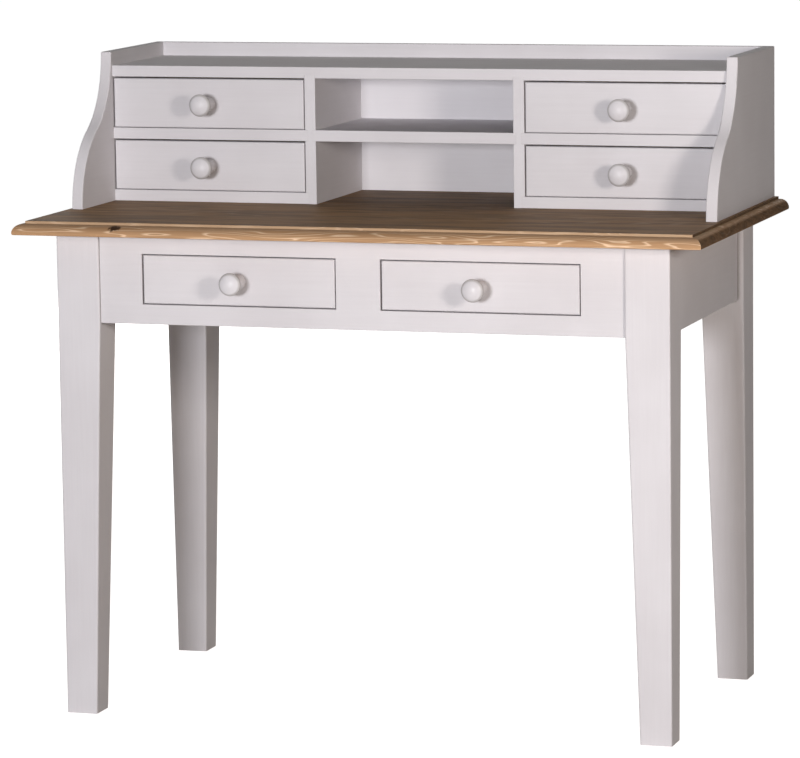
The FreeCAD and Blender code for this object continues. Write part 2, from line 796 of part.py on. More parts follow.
# Hutch carcass
back_screws = [(x, top_board_level) for x in top_board_screw_xs]
back_screws += [(side * hutch_opening_x, level) for side in (-1, 1)
                for level in (mid_board_level, base_board_level)]
back_screws.append((0, mid_board_level))
make_hutch_side("hutch_side_left", -1)
make_hutch_side("hutch_side_right", 1)
make_divider("hutch_divider_left", -1)
make_divider("hutch_divider_right", 1)
make_back_panel()

tongue = size.housing_depth - size.joint_clearance
top_reach = hutch_inner_x + tongue
divider_slots = [rectangle(-divider_outer_x, board_front_y, -divider_inner_x, panel_front_y),
                 rectangle(divider_inner_x, board_front_y, divider_outer_x, panel_front_y)]
top_holes = [(x, top_board_level, hole_radius) for x in top_board_screw_xs]
keep(make_board("hutch_top_board", (-top_reach, board_front_y, top_board_under),
                (top_reach, panel_front_y, top_board_top), size.board_edge_radius, divider_slots, top_holes))
shelf_reach = divider_inner_x + tongue
keep(make_board("hutch_centre_shelf", (-shelf_reach, board_front_y, mid_board_under),
                (shelf_reach, panel_front_y, mid_board_top), size.board_edge_radius,
                back_holes=[(0, mid_board_level, hole_radius)]))
base_boards = []
for side, name in ((-1, "left"), (1, "right")):
    low_x, high_x = ordered(side * (divider_outer_x - tongue), side * (hutch_inner_x + tongue))
    screw_x = side * hutch_opening_x
    keep(make_board(f"hutch_mid_board_{name}", (low_x, board_front_y, mid_board_under),
                    (high_x, panel_front_y, mid_board_top), size.board_edge_radius,
                    back_holes=[(screw_x, mid_board_level, hole_radius)]))
    base_boards.append(make_board(f"base_board_{name}", (low_x, board_front_y, size.top_height),
                                  (high_x, panel_front_y, base_board_top), size.board_edge_radius,
                                  back_holes=[(screw_x, base_board_level, hole_radius)]))
group("hutch_base_boards", base_boards)

# Hutch drawers
hutch_gaps = (size.hutch_gap_side, size.hutch_gap_top, size.hutch_gap_bottom)
hutch_opening = (hutch_opening_width, size.hutch_opening_height)
for side, name in ((-1, "left"), (1, "right")):
    for row_name, floor in (("upper", mid_board_top), ("lower", base_board_top)):
        make_drawer(f"hutch_drawer_{row_name}_{name}", hutch_opening, hutch_gaps, hutch_drawer_length,
                    side * hutch_opening_x, hutch_drawer_y, floor + size.running_clearance)

# Screws
hutch_screws = []
for number, (x, y) in enumerate(side_screws + divider_screws, start=1):
    screw = make_screw(f"hutch_screw_{number}", size.top_thickness)
    place(screw, x, y, top_under)
    hutch_screws.append(screw)
group("hutch_screws", hutch_screws)
into_the_back = FreeCAD.Rotation(FreeCAD.Vector(1, 0, 0), 90)
panel_screws = []
for number, (x, z) in enumerate(back_screws, start=1):
    screw = make_screw(f"panel_screw_{number}", size.back_panel_thickness)
    place(screw, x, hutch_back_y, z, into_the_back)
    panel_screws.append(screw)
group("back_panel_screws", panel_screws)

doc.recompute()

# Every object has to be sound before anything is written
for piece in doc.Objects:
    if {"Invalid", "Error"} & set(piece.State):
        raise RuntimeError(f"{piece.Label} failed: {piece.State}")
for node in nodes:
    if node.Shape.isNull() or not node.Shape.isValid():
        raise RuntimeError(f"{node.Label} has no sound shape")

os.makedirs("parts", exist_ok=True)
for node in nodes:
    node.Shape.exportStep(f"parts/{node.Label}.step")
print(f"{len(nodes)} pieces written")
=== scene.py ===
import json
import math
from typing import NamedTuple

import bmesh
import bpy
from mathutils import Matrix, Vector


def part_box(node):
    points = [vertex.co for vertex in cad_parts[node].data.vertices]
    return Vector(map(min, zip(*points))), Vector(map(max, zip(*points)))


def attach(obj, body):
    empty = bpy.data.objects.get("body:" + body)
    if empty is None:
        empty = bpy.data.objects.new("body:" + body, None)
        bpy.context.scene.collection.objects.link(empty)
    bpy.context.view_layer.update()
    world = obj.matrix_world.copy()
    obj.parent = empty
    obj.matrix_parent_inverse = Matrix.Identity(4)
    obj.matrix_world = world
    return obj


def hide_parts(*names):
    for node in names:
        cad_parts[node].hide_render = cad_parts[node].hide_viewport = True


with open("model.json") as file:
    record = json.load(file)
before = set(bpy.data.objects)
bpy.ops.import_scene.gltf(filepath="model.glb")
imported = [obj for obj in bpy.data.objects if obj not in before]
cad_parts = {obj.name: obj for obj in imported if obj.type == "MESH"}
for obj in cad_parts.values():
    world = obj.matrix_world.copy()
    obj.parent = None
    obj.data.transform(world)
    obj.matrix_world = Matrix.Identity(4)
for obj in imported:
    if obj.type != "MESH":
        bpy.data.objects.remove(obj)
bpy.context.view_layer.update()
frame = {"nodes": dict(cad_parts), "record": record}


class Pattern(NamedTuple):
    """Noise that changes so many times per metre along the grain, across it and the third way."""

    along: float
    across: float
    up: float
    detail: float = 2.0
    roughness: float = 0.5


def even(rate, detail=2.0):
    """Noise without direction."""
    return Pattern(rate, rate, rate, detail)


def fibrous(rate, stretch, detail=2.0, roughness=0.5):
    """Noise drawn out along the grain."""
    return Pattern(rate / stretch, rate, rate, detail, roughness)


class SoftBox(NamedTuple):
    """Area light in metres and watts."""

    place: tuple
    target: tuple
    width: float
    height: float
    power: float
    colour: tuple


# Ranges of a smooth step are pairs of low and high; two more values say where it starts and stops
FALLING = (1.0, 0.0)
WHITE = (1.0, 1.0, 1.0)

# Nodes: sockets of the mix node, samples, and the axes along the grain, across it and the third way
MIX_FACTOR = 0
MIX_FLOATS = (2, 3)
MIX_FLOAT_RESULT = 0
MIX_COLOURS = (6, 7)
MIX_COLOUR_RESULT = 2
BEVEL_SAMPLES = 6
OCCLUSION_SAMPLES = 8
GRAIN_ORDER = {"X": (0, 1, 2), "Y": (1, 0, 2), "Z": (2, 0, 1)}

# Camera, solved from the corners of the desk in the photograph (metres, radians, pixels)
IMAGE_WIDTH = 800
SENSOR_WIDTH = 36.0
CAMERA_PLACE = (2.0854, -6.5493, 1.4966)
CAMERA_YAW = 0.31023
CAMERA_PITCH = -0.14226
CAMERA_ROLL = -0.0136
FOCAL_PIXELS = 4377.58

# Paint: warm grey with a hint of lilac, brushed along the grain and thin on worn edges
PAINT_LIGHT = (0.738, 0.722, 0.742)
PAINT_DARK = (0.668, 0.647, 0.664)
PAINT_THIN = (0.56, 0.49, 0.41)
PAINT_STROKES = fibrous(260.0, 28.0, 4.0, 0.6)
PAINT_PORES = fibrous(900.0, 60.0)
PAINT_PATCHES = even(5.5, 3.0)
PAINT_CHIPS = even(70.0, 4.0)
STROKE_TONE = 0.25
PATCH_TONE = 0.75
TONE_RANGE = (0.25, 0.75)
WEAR_RADIUS = 0.0016
WEAR_TURN = (0.02, 0.2)
CHIP_RANGE = (0.45, 0.7)
WEAR_DEPTH = 0.2
STROKE_RELIEF = 0.6
PORE_RELIEF = 0.4
PAINT_BUMP = (0.16, 0.0006)
PAINT_ROUGHNESS = 0.58
PAINT_SPECULAR = 0.05
GLOSS_STROKES = (0.2, 0.8)
SATIN_SIDE = -0.05
MATT_SIDE = 0.07

# Paint of the legs: painted shade in the corners beside the aprons, clear of the feet
SEAM_SHADE_COLOUR = (0.20, 0.185, 0.175)
SEAM_SHADE_REACH = 0.010
SEAM_SHADE_OPENNESS = (0.50, 0.88)
SEAM_SHADE_LEVELS = (0.3, 0.4)
SEAM_SHADE_DEPTH = 0.8

# Paint of the knobs: glossier, with painted shade darkening the rim of the head (shares of the knob's
# box)
KNOB_ROUGHNESS = 0.34
KNOB_SPECULAR = 0.25
KNOB_AXIS = 0.5
RIM_SHADE_COLOUR = (0.42, 0.40, 0.39)
RIM_SHADE_FACING = (0.74, 0.90)
RIM_SHADE_REACH = (0.36, 0.44)
RIM_SHADE_DEPTH = 0.9

# Rings of the desktop's staves: each has its own pith, the front one's lies level behind the moulding
DESKTOP_LOW, DESKTOP_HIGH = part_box("desktop")
STAVE_COUNT = 6
STAVE_WIDTH = (DESKTOP_HIGH.y - DESKTOP_LOW.y) / STAVE_COUNT
STAVE_SHIFT = 9.0
FRONT_STAVE = (0.2, 0.8)
PITH_SHARE = 0.75
PITH_SPREAD = -0.5
PITH_DEPTH = 0.055
PITH_LEAST = 0.4
EDGE_PITH = 1.15
SLOW_WANDER = Pattern(2.6, 9.0, 9.0, 1.0)
SLOW_REACH = 0.05
QUICK_WANDER = Pattern(9.0, 30.0, 30.0)
QUICK_REACH = 0.018
EDGE_LOOPS = Pattern(4.2, 12.0, 50.0, 1.8)
LOOP_REACH = 0.036
RING_SPACING = 0.0062
EDGE_RING_SPACING = 0.0026
LATE_RISE = (0.60, 0.86)
LATE_FALL = (0.88, 1.0)

# Stain of the desktop: the dense late wood takes less of it, so its lines are the paler ones
STAIN_EARLY = (0.39, 0.232, 0.123)
STAIN_LATE = (0.66, 0.475, 0.315)
LATE_DEPTH = 0.9
TOP_FIBRES = fibrous(520.0, 45.0, 3.0, 0.65)
TOP_STREAKS = Pattern(3.0, 55.0, 55.0, 3.0)
LEAST_TONE = 0.52
STREAK_TONE = 0.55
FIBRE_TONE = 0.35
STAVE_TONE = 0.16
TOP_RELIEF = 0.5
TOP_BUMP = (0.25, 0.0005)
TOP_GLOSS = (0.25, 0.75, 0.48, 0.58)
TOP_SPECULAR = 0.05

# Moulded edge: painted shade darkens it under the step and painted light makes it pale below; the riser
# over the step and the arrises are rubbed
EDGE_STEP = 0.004
FACE_DEPTH = 0.001
EDGE_SHADING_TONES = (1.34, 0.80)
STAIN_RUBBED = (0.66, 0.47, 0.30)
RUB_RADIUS = 0.002
RUB_TURN = (0.03, 0.25)
RUB_FIBRES = (0.3, 0.6, 0.45, 1.0)
RUB_DEPTH = 0.75
RISER_WEAR = 0.75

# Upper face of the desktop: painted shade, a darker copy of the stain with a long figure
STAIN_SHADED = (0.090, 0.050, 0.020)
STAIN_SHADE_DEPTH = 0.78
LEVEL_FACING = (0.8, 0.97)
TOP_FIGURE = Pattern(5.0, 36.0, 0.0, 4.0, 0.6)
FIGURE_TONES = (0.34, 0.66, 0.40, 2.1)

# End grain of the desktop: dark and blotched
STAIN_END = (0.07, 0.039, 0.020)
END_FACING = (0.45, 0.8)
END_PITS = Pattern(90.0, 55.0, 140.0, 4.0, 0.65)
PIT_TONES = (0.32, 0.68, 0.35, 1.75)
END_DEPTH = 0.85
END_ROUGHNESS = 0.8

# Knot in the front edge (metres), with a ragged rim
STAIN_KNOT = (0.035, 0.018, 0.009)
KNOT_PLACE = (-0.380, -0.290, 0.7755)
KNOT_REACH = (0.0105, 0.0085, 0.0050)
KNOT_BARK = even(240.0, 3.0)
BARK_REACH = 1.6
KNOT_RIM = (1.35, 1.95)

# Bare pine inside the drawers and under the desktop
PINE_EARLY = (0.74, 0.575, 0.37)
PINE_LATE = (0.56, 0.37, 0.195)
PINE_WANDER = Pattern(3.0, 10.0, 10.0)
PINE_WANDER_REACH = 0.06
PINE_TILT = 0.6
PINE_RING_SPACING = 0.0055
PINE_LATE_RISE = (0.3, 0.85)
PINE_LATE_FALL = (0.9, 1.0)
PINE_LATE_DEPTH = 0.7
PINE_FIBRES = fibrous(600.0, 40.0, 3.0, 0.6)
PINE_PATCHES = even(7.0)
PINE_LEAST_TONE = 0.72
PINE_FIBRE_TONE = 0.3
PINE_PATCH_TONE = 0.26
PINE_GLOSS = (0.2, 0.8, 0.55, 0.7)
PINE_SPECULAR = 0.35
PINE_BUMP = (0.2, 0.0004)

# Zinc of the screws
ZINC_DARK = (0.46, 0.46, 0.47)
ZINC_LIGHT = (0.70, 0.70, 0.71)
ZINC_SPANGLE = even(700.0, 3.0)
ZINC_SCUFFS = even(160.0, 4.0)
ZINC_GLOSS = (0.3, 0.7, 0.28, 0.5)
ZINC_BUMP = (0.15, 0.0002)

# Pan-head screws (metres, radians; shares of the head's radius and height)
SCREW_SEGMENTS = 28
SCREW_SPREAD = 0.012
SCREW_TURN = 1.1
HEAD_HEIGHT = 0.0022
SHANK_RADIUS = 0.00225
TIP_LENGTH = 0.006
HEAD_PROFILE = ((0.60, 0.0), (0.78, 0.05), (0.91, 0.22), (0.98, 0.5), (1.0, 0.75), (0.97, 1.0))
RECESS_MOUTH = (0.52, 0.15)
RECESS_FLOOR = (0.25, 0.09)
RECESS_DEPTH = 0.7
SHARP_ANGLE = math.radians(40)
UPWARDS = (0.0, 0.0, 1.0)
FORWARDS = (0.0, -1.0, 0.0)

# Studio: pale floor that fades into the white backdrop, weak ambient light and four soft boxes
FLOOR_REACH = 40.0
FLOOR_COLOUR = (0.80, 0.755, 0.72)
FLOOR_FADE = (1.0, 3.0)
FLOOR_LIFT = (0.93, 1.0)
AMBIENT = 0.02
LIGHTS = {
    "front_box": SoftBox(
        place=(0.0, -8.0, 1.55), target=(0.0, 0.0, 0.75),
        width=1.3, height=0.95, power=378.0, colour=(1.0, 0.995, 1.03),
    ),
    "side_box": SoftBox(
        place=(1.85, -1.87, 1.17), target=(0.0, 0.0, 0.85),
        width=0.35, height=0.35, power=22.0, colour=(1.0, 0.92, 0.86),
    ),
    "rear_box": SoftBox(
        place=(-3.6, 4.0, 0.5), target=(0.0, 0.0, 0.6),
        width=2.0, height=1.0, power=140.0, colour=WHITE,
    ),
    "top_box": SoftBox(
        place=(0.0, 0.5, 3.4), target=(0.0, 0.1, 0.8),
        width=2.2, height=1.6, power=9.5, colour=(1.0, 0.94, 0.88),
    ),
}


class Graph:
    """A material's nodes, made by short calls; a socket given as a value is linked."""

    def __init__(self, name):
        self.material = bpy.data.materials.new(name)
        self.material.use_nodes = True
        self.tree = self.material.node_tree
        self.tree.nodes.clear()

    def add(self, kind, inputs=None, **settings):
        node = self.tree.nodes.new(kind)
        for name, value in settings.items():
            setattr(node, name, value)
        for key, value in (inputs or {}).items():
            self.feed(node.inputs[key], value)
        return node

    def feed(self, socket, value):
        if isinstance(value, bpy.types.NodeSocket):
            self.tree.links.new(value, socket)
        elif socket.type == "RGBA":
            socket.default_value = (*value, 1.0)
        else:
            socket.default_value = value

    def math(self, operation, *values):
        return self.add("ShaderNodeMath", dict(enumerate(values)), operation=operation).outputs[0]

    def minus(self, value, other):
        return self.math("SUBTRACT", value, other)

    def plus(self, *values):
        total = values[0]
        for value in values[1:]:
            total = self.math("ADD", total, value)
        return total

    def times(self, *values):
        product = values[0]
        for value in values[1:]:
            product = self.math("MULTIPLY", product, value)
        return product

    def step(self, value, low, high, start=0.0, stop=1.0):
        """Smooth change from start to stop while the value goes from low to high."""
        inputs = {"Value": value, "From Min": low, "From Max": high, "To Min": start, "To Max": stop}
        node = self.add("ShaderNodeMapRange", inputs, interpolation_type="SMOOTHSTEP")
        return node.outputs["Result"]

    def band(self, value, rise, fall):
        """One between the end of the rise and the start of the fall."""
        return self.times(self.step(value, *rise), self.step(value, *fall, *FALLING))

    def vector(self, x, y, z):
        return self.add("ShaderNodeCombineXYZ", {"X": x, "Y": y, "Z": z}).outputs[0]

    def split(self, vector):
        return self.add("ShaderNodeSeparateXYZ", {"Vector": vector}).outputs[:3]

    def length(self, vector):
        return self.add("ShaderNodeVectorMath", {0: vector}, operation="LENGTH").outputs["Value"]

    def normal(self):
        return self.add("ShaderNodeNewGeometry").outputs["Normal"]

    def place(self, grain="X"):
        """Place on the part in metres, ordered as along the grain, across it and the third way."""
        xyz = self.split(self.add("ShaderNodeTexCoord").outputs["Object"])
        return [xyz[index] for index in GRAIN_ORDER[grain]]

    def noise(self, place, pattern):
        rates = (pattern.along, pattern.across, pattern.up)
        vector = self.vector(*[self.times(value, rate) for value, rate in zip(place, rates)])
        inputs = {"Scale": 1.0, "Detail": pattern.detail, "Roughness": pattern.roughness}
        return self.add("ShaderNodeTexNoise", {"Vector": vector, **inputs}).outputs["Fac"]

    def blend(self, factor, first, second):
        inputs = dict(zip((MIX_FACTOR, *MIX_FLOATS), (factor, first, second)))
        return self.add("ShaderNodeMix", inputs, data_type="FLOAT").outputs[MIX_FLOAT_RESULT]

    def mix(self, factor, first, second, blend="MIX"):
        inputs = dict(zip((MIX_FACTOR, *MIX_COLOURS), (factor, first, second)))
        node = self.add("ShaderNodeMix", inputs, data_type="RGBA", blend_type=blend)
        return node.outputs[MIX_COLOUR_RESULT]

    def shade(self, colour, factor):
        """The colour times a grey factor."""
        channels = {"Red": factor, "Green": factor, "Blue": factor}
        grey = self.add("ShaderNodeCombineColor", channels).outputs[0]
        return self.mix(1.0, colour, grey, "MULTIPLY")

    def edges(self, radius, turn_range):
        """One along the edges of the piece, zero on its flat faces."""
        rounded = self.add("ShaderNodeBevel", {"Radius": radius}, samples=BEVEL_SAMPLES).outputs[0]
        normals = {0: rounded, 1: self.normal()}
        turn = self.add("ShaderNodeVectorMath", normals, operation="DOT_PRODUCT").outputs["Value"]
        return self.step(self.minus(1.0, turn), *turn_range)

    def corners(self, reach, open_range):
        """One in inner corners, zero where the surface lies open."""
        node = self.add("ShaderNodeAmbientOcclusion", {"Distance": reach}, samples=OCCLUSION_SAMPLES)
        return self.step(node.outputs["AO"], *open_range, *FALLING)

    def bump(self, height, strength, distance):
        inputs = {"Height": height, "Strength": strength, "Distance": distance}
        return self.add("ShaderNodeBump", inputs).outputs[0]

    def surface(self, **inputs):
        names = {name.replace("_", " "): value for name, value in inputs.items()}
        shader = self.add("ShaderNodeBsdfPrincipled", names)
        self.add("ShaderNodeOutputMaterial", {"Surface": shader.outputs[0]})
        return self.material


def knob_rim_shade(graph):
    """Painted shade mask: one on the rim of a knob's head, which lies far from its axis and turns away
    from the front.
    """
    right, _, up = graph.split(graph.add("ShaderNodeTexCoord").outputs["Generated"])
    offset = graph.vector(graph.minus(right, KNOB_AXIS), 0.0, graph.minus(up, KNOB_AXIS))
    forward = graph.math("ABSOLUTE", graph.split(graph.normal())[1])
    turned_away = graph.step(forward, *RIM_SHADE_FACING, *FALLING)
    return graph.times(graph.step(graph.length(offset), *RIM_SHADE_REACH), turned_away)


def leg_seam_shade(graph, height):
    """Painted shade mask: one in the corners between leg and aprons, zero near the floor."""
    return graph.times(graph.corners(SEAM_SHADE_REACH, SEAM_SHADE_OPENNESS), graph.step(height, *SEAM_SHADE_LEVELS))


def painted(name, grain, roughness=PAINT_ROUGHNESS, specular=PAINT_SPECULAR, rim=False, seam_shade=False):
    """Brushed paint over pine: strokes along the grain, faint mottling, thin on the edges; on request
    painted shade in the legs' corners and on the knobs' rims.
    """
    graph = Graph(name)
    place = graph.place(grain)
    strokes = graph.noise(place, PAINT_STROKES)
    pores = graph.noise(place, PAINT_PORES)
    patches = graph.noise(place, PAINT_PATCHES)
    tone = graph.plus(graph.times(strokes, STROKE_TONE), graph.times(patches, PATCH_TONE))
    colour = graph.mix(graph.step(tone, *TONE_RANGE), PAINT_DARK, PAINT_LIGHT)
    chips = graph.step(graph.noise(place, PAINT_CHIPS), *CHIP_RANGE)
    worn = graph.times(graph.edges(WEAR_RADIUS, WEAR_TURN), chips, WEAR_DEPTH)
    colour = graph.mix(worn, colour, PAINT_THIN)
    # Painted shade: darker in the corners between leg and aprons
    if seam_shade:
        height = place[0]
        colour = graph.mix(graph.times(leg_seam_shade(graph, height), SEAM_SHADE_DEPTH), colour, SEAM_SHADE_COLOUR)
    # Painted shade: darker on the rim of a knob's head
    if rim:
        colour = graph.mix(graph.times(knob_rim_shade(graph), RIM_SHADE_DEPTH), colour, RIM_SHADE_COLOUR)
    relief = graph.plus(graph.times(strokes, STROKE_RELIEF), graph.times(pores, PORE_RELIEF))
    return graph.surface(
        Base_Color=colour,
        Roughness=graph.step(strokes, *GLOSS_STROKES, roughness + SATIN_SIDE, roughness + MATT_SIDE),
        Specular_IOR_Level=specular,
        Normal=graph.bump(relief, *PAINT_BUMP),
    )


def late_wood(graph, place, shifted, stave_share, luck):
    """One on the late-wood lines: rings round each stave's own pith, which wanders along the board."""
    _, y, z = place
    front = graph.step(graph.math("FLOOR", stave_share), *FRONT_STAVE, *FALLING)
    own_pith = graph.plus(PITH_SHARE, graph.times(luck[0], PITH_SPREAD))
    pith = graph.blend(front, own_pith, EDGE_PITH)
    own_depth = graph.times(graph.plus(luck[1], PITH_LEAST), PITH_DEPTH)
    pith_depth = graph.blend(front, own_depth, (DESKTOP_LOW.z - DESKTOP_HIGH.z) / 2)
    across = graph.times(graph.minus(graph.math("FRACT", stave_share), pith), STAVE_WIDTH)
    depth = graph.plus(graph.minus(DESKTOP_HIGH.z, z), pith_depth)
    reach = graph.math("SQRT", graph.plus(graph.times(across, across), graph.times(depth, depth)))
    slow = graph.noise((shifted, y, z), SLOW_WANDER)
    quick = graph.noise((shifted, y, z), QUICK_WANDER)
    wander = graph.plus(graph.times(slow, SLOW_REACH), graph.times(quick, QUICK_REACH))
    loops = graph.times(graph.noise(place, EDGE_LOOPS), LOOP_REACH)
    radius = graph.plus(reach, graph.blend(front, wander, loops))
    rings_per_metre = graph.blend(front, 1 / RING_SPACING, 1 / EDGE_RING_SPACING)
    ring = graph.math("FRACT", graph.times(radius, rings_per_metre))
    return graph.band(ring, LATE_RISE, LATE_FALL)


def knot_in_edge(graph, place):
    """One in the knot of the front edge."""
    offset = [
        graph.math("DIVIDE", graph.minus(value, centre), size)
        for value, centre, size in zip(place, KNOT_PLACE, KNOT_REACH)
    ]
    ragged = graph.times(graph.noise(place, KNOT_BARK), BARK_REACH)
    return graph.step(graph.plus(graph.length(graph.vector(*offset)), ragged), *KNOT_RIM, *FALLING)


def stained_top():
    """Glued-up staves of stained pine, pale rings and rubbed arrises, dark end grain and one knot."""
    graph = Graph("stained_pine")
    place = graph.place()
    x, y, z = place
    stave_share = graph.math("DIVIDE", graph.minus(y, DESKTOP_LOW.y), STAVE_WIDTH)
    stave = graph.math("FLOOR", stave_share)
    chance = graph.add("ShaderNodeTexWhiteNoise", {"W": stave}, noise_dimensions="1D").outputs["Color"]
    luck = graph.split(chance)
    shifted = graph.plus(x, graph.times(luck[2], STAVE_SHIFT))
    late = late_wood(graph, place, shifted, stave_share, luck)
    fibres = graph.noise(place, TOP_FIBRES)
    streaks = graph.noise((shifted, y, z), TOP_STREAKS)
    colour = graph.mix(graph.times(late, LATE_DEPTH), STAIN_EARLY, STAIN_LATE)
    tone = graph.plus(
        LEAST_TONE,
        graph.times(streaks, STREAK_TONE),
        graph.times(fibres, FIBRE_TONE),
        graph.times(luck[1], STAVE_TONE),
    )
    colour = graph.shade(colour, tone)

    # Moulded edge: painted shade and light down its height, rubbed riser and arrises
    step_level = DESKTOP_HIGH.z - EDGE_STEP
    at_top = graph.step(z, DESKTOP_HIGH.z - FACE_DEPTH, DESKTOP_HIGH.z)
    # Painted shade and light: darker just under the step, paler towards the bottom of the moulding
    edge_shading = graph.step(z, DESKTOP_LOW.z, step_level, *EDGE_SHADING_TONES)
    colour = graph.shade(colour, graph.blend(at_top, edge_shading, 1.0))
    rubbed = graph.times(graph.edges(RUB_RADIUS, RUB_TURN), graph.step(fibres, *RUB_FIBRES))
    above_step = graph.step(z, step_level, step_level + FACE_DEPTH)
    riser = graph.times(graph.minus(above_step, at_top), RISER_WEAR)
    rubbed = graph.math("MAXIMUM", rubbed, riser)
    colour = graph.mix(graph.times(rubbed, RUB_DEPTH), colour, STAIN_RUBBED)

    # Upper face with painted shade, ends and knot
    facing = graph.split(graph.normal())
    # Painted shade: the upper face takes a darker copy of the stain
    upper_face = graph.times(graph.step(facing[2], *LEVEL_FACING), at_top)
    figure = graph.step(graph.noise((shifted, y, z), TOP_FIGURE), *FIGURE_TONES)
    colour = graph.mix(graph.times(upper_face, STAIN_SHADE_DEPTH), colour, graph.shade(STAIN_SHADED, figure))
    end_grain = graph.step(graph.math("ABSOLUTE", facing[0]), *END_FACING)
    pits = graph.step(graph.noise(place, END_PITS), *PIT_TONES)
    colour = graph.mix(graph.times(end_grain, END_DEPTH), colour, graph.shade(STAIN_END, pits))
    colour = graph.mix(knot_in_edge(graph, place), colour, STAIN_KNOT)

    satin = graph.step(fibres, *TOP_GLOSS)
    return graph.surface(
        Base_Color=colour,
        Roughness=graph.blend(end_grain, satin, END_ROUGHNESS),
        Specular_IOR_Level=TOP_SPECULAR,
        Normal=graph.bump(graph.times(graph.plus(fibres, late), TOP_RELIEF), *TOP_BUMP),
    )


def bare_pine(name, grain):
    """Planed pine without finish: honey late-wood lines that wander along the grain."""
    graph = Graph(name)
    place = graph.place(grain)
    _, across, up = place
    wander = graph.times(graph.noise(place, PINE_WANDER), PINE_WANDER_REACH)
    radius = graph.plus(across, graph.times(up, PINE_TILT), wander)
    ring = graph.math("FRACT", graph.times(radius, 1 / PINE_RING_SPACING))
    late = graph.band(ring, PINE_LATE_RISE, PINE_LATE_FALL)
    fibres = graph.noise(place, PINE_FIBRES)
    patches = graph.noise(place, PINE_PATCHES)
    colour = graph.mix(graph.times(late, PINE_LATE_DEPTH), PINE_EARLY, PINE_LATE)
    tone = graph.plus(
        PINE_LEAST_TONE,
        graph.times(fibres, PINE_FIBRE_TONE),
        graph.times(patches, PINE_PATCH_TONE),
    )
    return graph.surface(
        Base_Color=graph.shade(colour, tone),
        Roughness=graph.step(fibres, *PINE_GLOSS),
        Specular_IOR_Level=PINE_SPECULAR,
        Normal=graph.bump(graph.plus(fibres, late), *PINE_BUMP),
    )


def zinc():
    """Plated steel: fine spangle and scuffs."""
    graph = Graph("zinc")
    place = graph.place()
    scuffs = graph.noise(place, ZINC_SCUFFS)
    return graph.surface(
        Base_Color=graph.mix(graph.noise(place, ZINC_SPANGLE), ZINC_DARK, ZINC_LIGHT),
        Metallic=1.0,
        Roughness=graph.step(scuffs, *ZINC_GLOSS),
        Normal=graph.bump(scuffs, *ZINC_BUMP),
    )


def screw_groups(node, inward):
    """The points of each screw in a node: those that share one line along the way it goes in."""
    groups = []
    for vertex in frame["nodes"][node].data.vertices:
        flat = vertex.co - inward * vertex.co.dot(inward)
        near = [group for group in groups if (group[0][0] - flat).length < SCREW_SPREAD]
        if not near:
            near = [[]]
            groups += near
        near[0].append((flat, vertex.co.dot(inward)))
    return groups


def circle(radius):
    """Points round a circle."""
    turns = [2 * math.pi * index / SCREW_SEGMENTS for index in range(SCREW_SEGMENTS)]
    return [(radius * math.cos(turn), radius * math.sin(turn)) for turn in turns]


def cross(arm, half_width):
    """Corners of a cross with four arms."""
    corners = ((arm, -half_width), (arm, half_width), (half_width, half_width))
    quarters = [Matrix.Rotation(quarter * math.pi / 2, 2) for quarter in range(4)]
    return [quarter @ Vector(corner) for quarter in quarters for corner in corners]


def add_ring(shape, matrix, outline, height):
    """Points of a flat outline at a height."""
    return [shape.verts.new(matrix @ Vector((x, y, height))) for x, y in outline]


def add_wall(shape, first, second):
    """Faces between two rings of points."""
    for index in range(len(first)):
        shape.faces.new((first[index - 1], first[index], second[index], second[index - 1]))


def loop_edges(shape, ring):
    """Edges round a ring of points."""
    return [shape.edges.get((ring[index - 1], ring[index])) for index in range(len(ring))]


def add_recess(shape, matrix, radius, rim):
    """Cross recess in the head's face, which is filled from the recess to its rim."""
    mouth_outline = cross(*[share * radius for share in RECESS_MOUTH])
    floor_outline = cross(*[share * radius for share in RECESS_FLOOR])
    mouth = add_ring(shape, matrix, mouth_outline, 0.0)
    floor = add_ring(shape, matrix, floor_outline, RECESS_DEPTH * HEAD_HEIGHT)
    add_wall(shape, mouth, floor)
    shape.faces.new(floor)
    face_edges = loop_edges(shape, rim) + loop_edges(shape, mouth)
    bmesh.ops.triangle_fill(shape, edges=face_edges, use_beauty=True)


def add_screw(shape, matrix, radius, length):
    """Pan-head screw along the matrix's Z: domed head with a cross recess, shank and point."""
    rings = []
    for share, level in HEAD_PROFILE:
        rings.append(add_ring(shape, matrix, circle(share * radius), level * HEAD_HEIGHT))
    for level in (HEAD_HEIGHT, length - TIP_LENGTH):
        rings.append(add_ring(shape, matrix, circle(SHANK_RADIUS), level))
    for first, second in zip(rings, rings[1:]):
        add_wall(shape, first, second)
    tip = shape.verts.new(matrix @ Vector((0.0, 0.0, length)))
    for index in range(SCREW_SEGMENTS):
        shape.faces.new((rings[-1][index - 1], rings[-1][index], tip))
    add_recess(shape, matrix, radius, rings[0])


